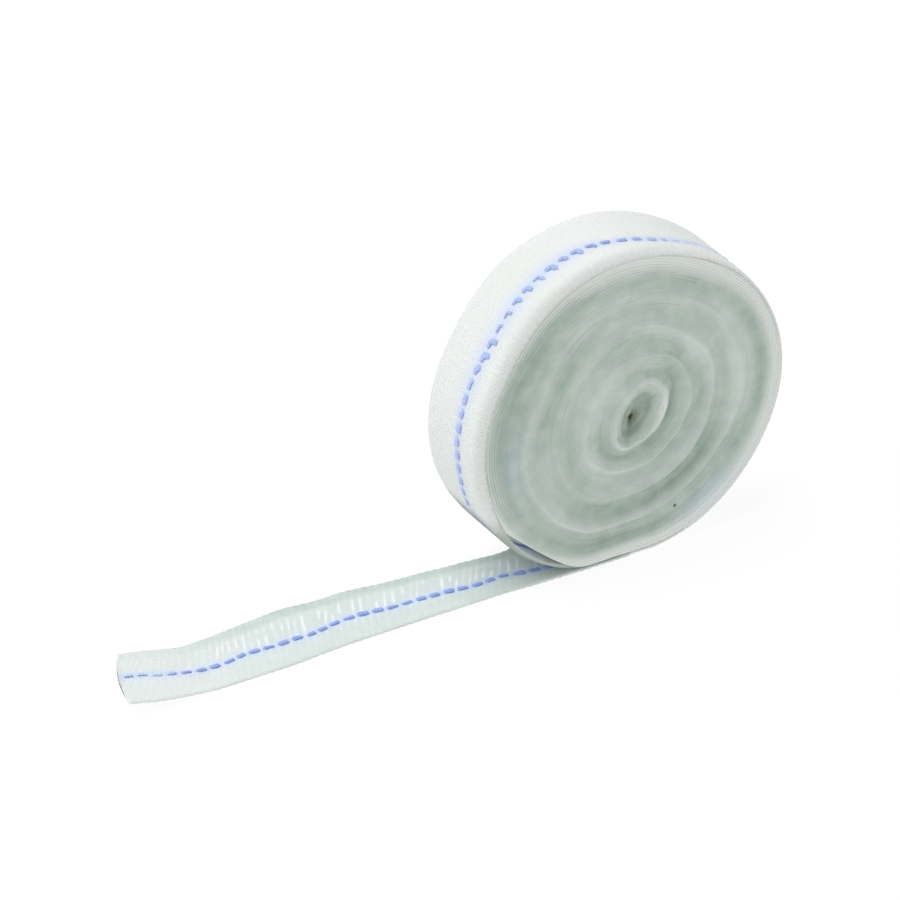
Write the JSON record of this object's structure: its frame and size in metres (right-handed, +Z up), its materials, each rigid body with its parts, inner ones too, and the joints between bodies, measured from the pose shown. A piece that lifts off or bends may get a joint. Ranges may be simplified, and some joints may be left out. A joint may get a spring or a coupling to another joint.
{
  "type": "gauze ribbon roll",
  "caption": "Narrow woven gauze ribbon with a coloured marker thread along its middle, wound on itself without a core and standing on edge, its loose end laid out flat.",
  "frame": {"origin": "on the surface, in the middle of the flat spot under the wound roll", "axes": "+Z up, +Y along the roll's axis away from its open front face, -X along the loose end"},
  "size_m": [0.0985, 0.0138, 0.0455],
  "materials": {
    "gauze": "matte open-weave cotton"
  },
  "bodies": {
    "root": {"ribbon": "gauze"}
  },
  "joints": []
}
